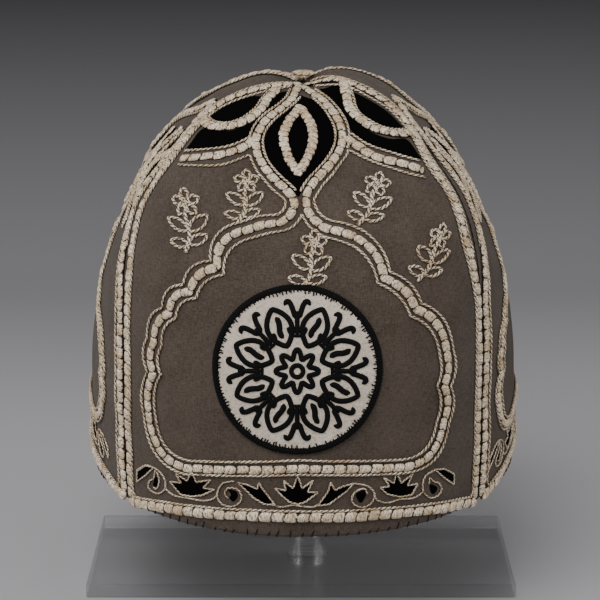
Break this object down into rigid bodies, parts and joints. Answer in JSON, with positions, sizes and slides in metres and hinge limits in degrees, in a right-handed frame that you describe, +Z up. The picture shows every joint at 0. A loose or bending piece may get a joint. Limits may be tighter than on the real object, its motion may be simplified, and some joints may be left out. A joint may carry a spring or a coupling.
{
  "type": "embroidered felt dervish cap on a clear acrylic display stand",
  "caption": "Domed cap of thick felt panels with couched silver bands, velvet shapes and a cloth roundel, carried on a clear stand with a post and plate.",
  "frame": {"origin": "middle of the underside of the stand's plate", "axes": "+Z up, the wearer's front towards -Y, +X to the right of someone looking at the front"},
  "size_m": [0.1812, 0.2148, 0.2206],
  "materials": {
    "dark_felt": "thick brown felt",
    "silver_couching": "couched dull silver thread",
    "black_velvet": "worn black pile",
    "white_cloth": "nubbly undyed cloth",
    "black_thread": "close buttonhole stitch",
    "clear_acrylic": "clear, polished edges"
  },
  "bodies": {
    "root": {"gore_front": "dark_felt", "gore_right": "dark_felt", "gore_back": "dark_felt", "gore_left": "dark_felt", "edge_band_front": "silver_couching", "edge_band_right": "silver_couching", "edge_band_back": "silver_couching", "edge_band_left": "silver_couching", "arch_band_front": "silver_couching", "arch_band_right": "silver_couching", "arch_band_back": "silver_couching", "arch_band_left": "silver_couching", "wing_band_right_front": "silver_couching", "wing_band_left_front": "silver_couching", "wing_band_right_right": "silver_couching", "wing_band_left_right": "silver_couching", "wing_band_right_back": "silver_couching", "wing_band_left_back": "silver_couching", "wing_band_right_left": "silver_couching", "wing_band_left_left": "silver_couching", "crown_knot": "silver_couching", "almond_velvet_front": "black_velvet", "almond_velvet_right": "black_velvet", "almond_velvet_back": "black_velvet", "almond_velvet_left": "black_velvet", "crescent_right_front": "black_velvet", "crescent_left_front": "black_velvet", "leaf_right_front": "black_velvet", "leaf_left_front": "black_velvet", "crescent_right_right": "black_velvet", "crescent_left_right": "black_velvet", "leaf_right_right": "black_velvet", "leaf_left_right": "black_velvet", "crescent_right_back": "black_velvet", "crescent_left_back": "black_velvet", "leaf_right_back": "black_velvet", "leaf_left_back": "black_velvet", "crescent_right_left": "black_velvet", "crescent_left_left": "black_velvet", "leaf_right_left": "black_velvet", "leaf_left_left": "black_velvet", "medallion_cloth": "white_cloth", "medallion_edge": "black_thread", "stand_plate": "clear_acrylic", "stand_collar": "clear_acrylic", "stand_post": "clear_acrylic", "stand_rest": "clear_acrylic"}
  },
  "joints": []
}
